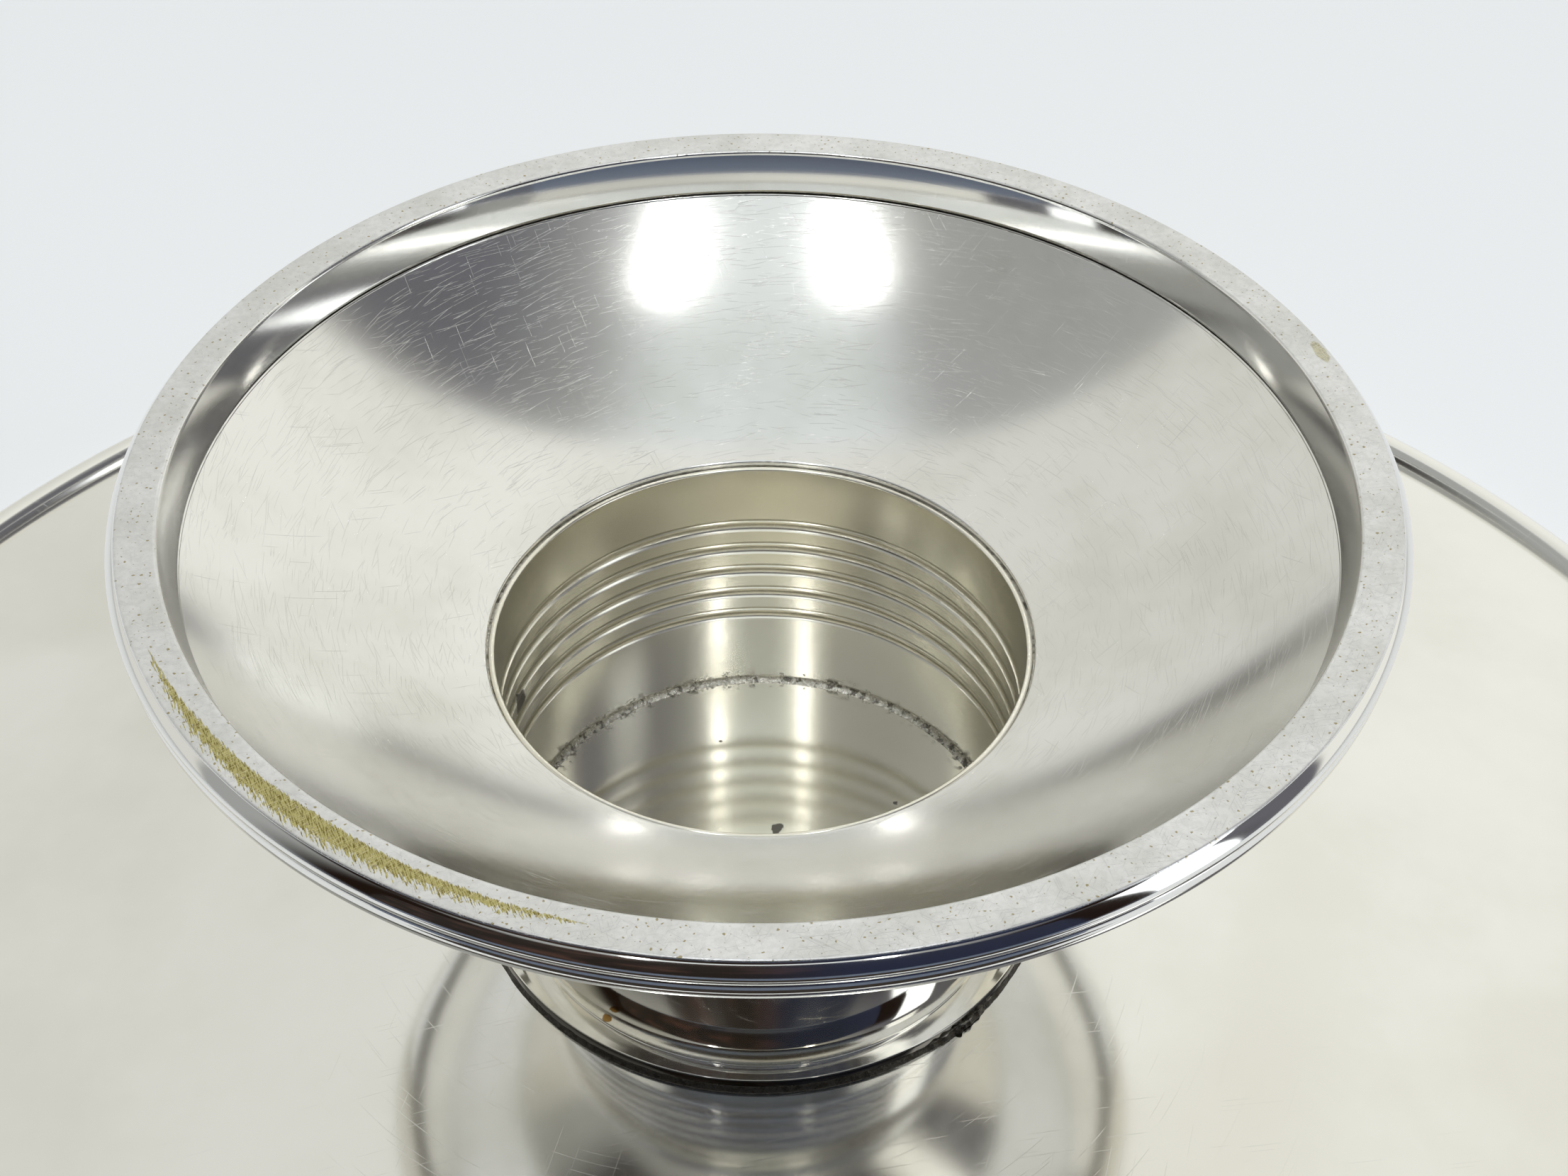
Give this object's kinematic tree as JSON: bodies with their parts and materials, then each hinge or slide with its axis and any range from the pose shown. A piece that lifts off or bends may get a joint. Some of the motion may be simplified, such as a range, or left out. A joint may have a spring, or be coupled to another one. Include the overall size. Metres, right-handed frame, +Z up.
{
  "type": "champagne bucket stand",
  "caption": "Silver-plated champagne bucket stand, turned over: a shallow round tray resting on its rim, with a short beaded stem and a wide hollow foot on top.",
  "frame": {"origin": "on the stand's axis, in the plane that the tray's rim rests on", "axes": "+Z up along the stand's axis, from the tray's rim to the foot ring's flat face; X and Y are any two directions across it"},
  "size_m": [0.3484, 0.3482, 0.098],
  "materials": {
    "tray_silver": "silver plate, polished and slightly clouded, with faint stains and wipe marks",
    "stem_silver": "silver plate, polished, with a warm tarnish inside the stem",
    "dish_silver": "silver plate, polished, with fine round hairline scratches",
    "ring_silver": "silver plate, scuffed on the flat face and worn through to brass in places",
    "solder": "rough tin solder, dull grey with dark dirt"
  },
  "bodies": {
    "root": {"tray_plate": "tray_silver", "tray_rim_moulding": "tray_silver", "mounting_disc": "stem_silver", "stem_tube": "stem_silver", "foot_dish": "dish_silver", "foot_ring": "ring_silver", "foot_ring_solder": "solder", "dish_lip_solder": "solder", "stem_base_solder": "solder", "disc_edge_solder": "solder"}
  },
  "joints": []
}
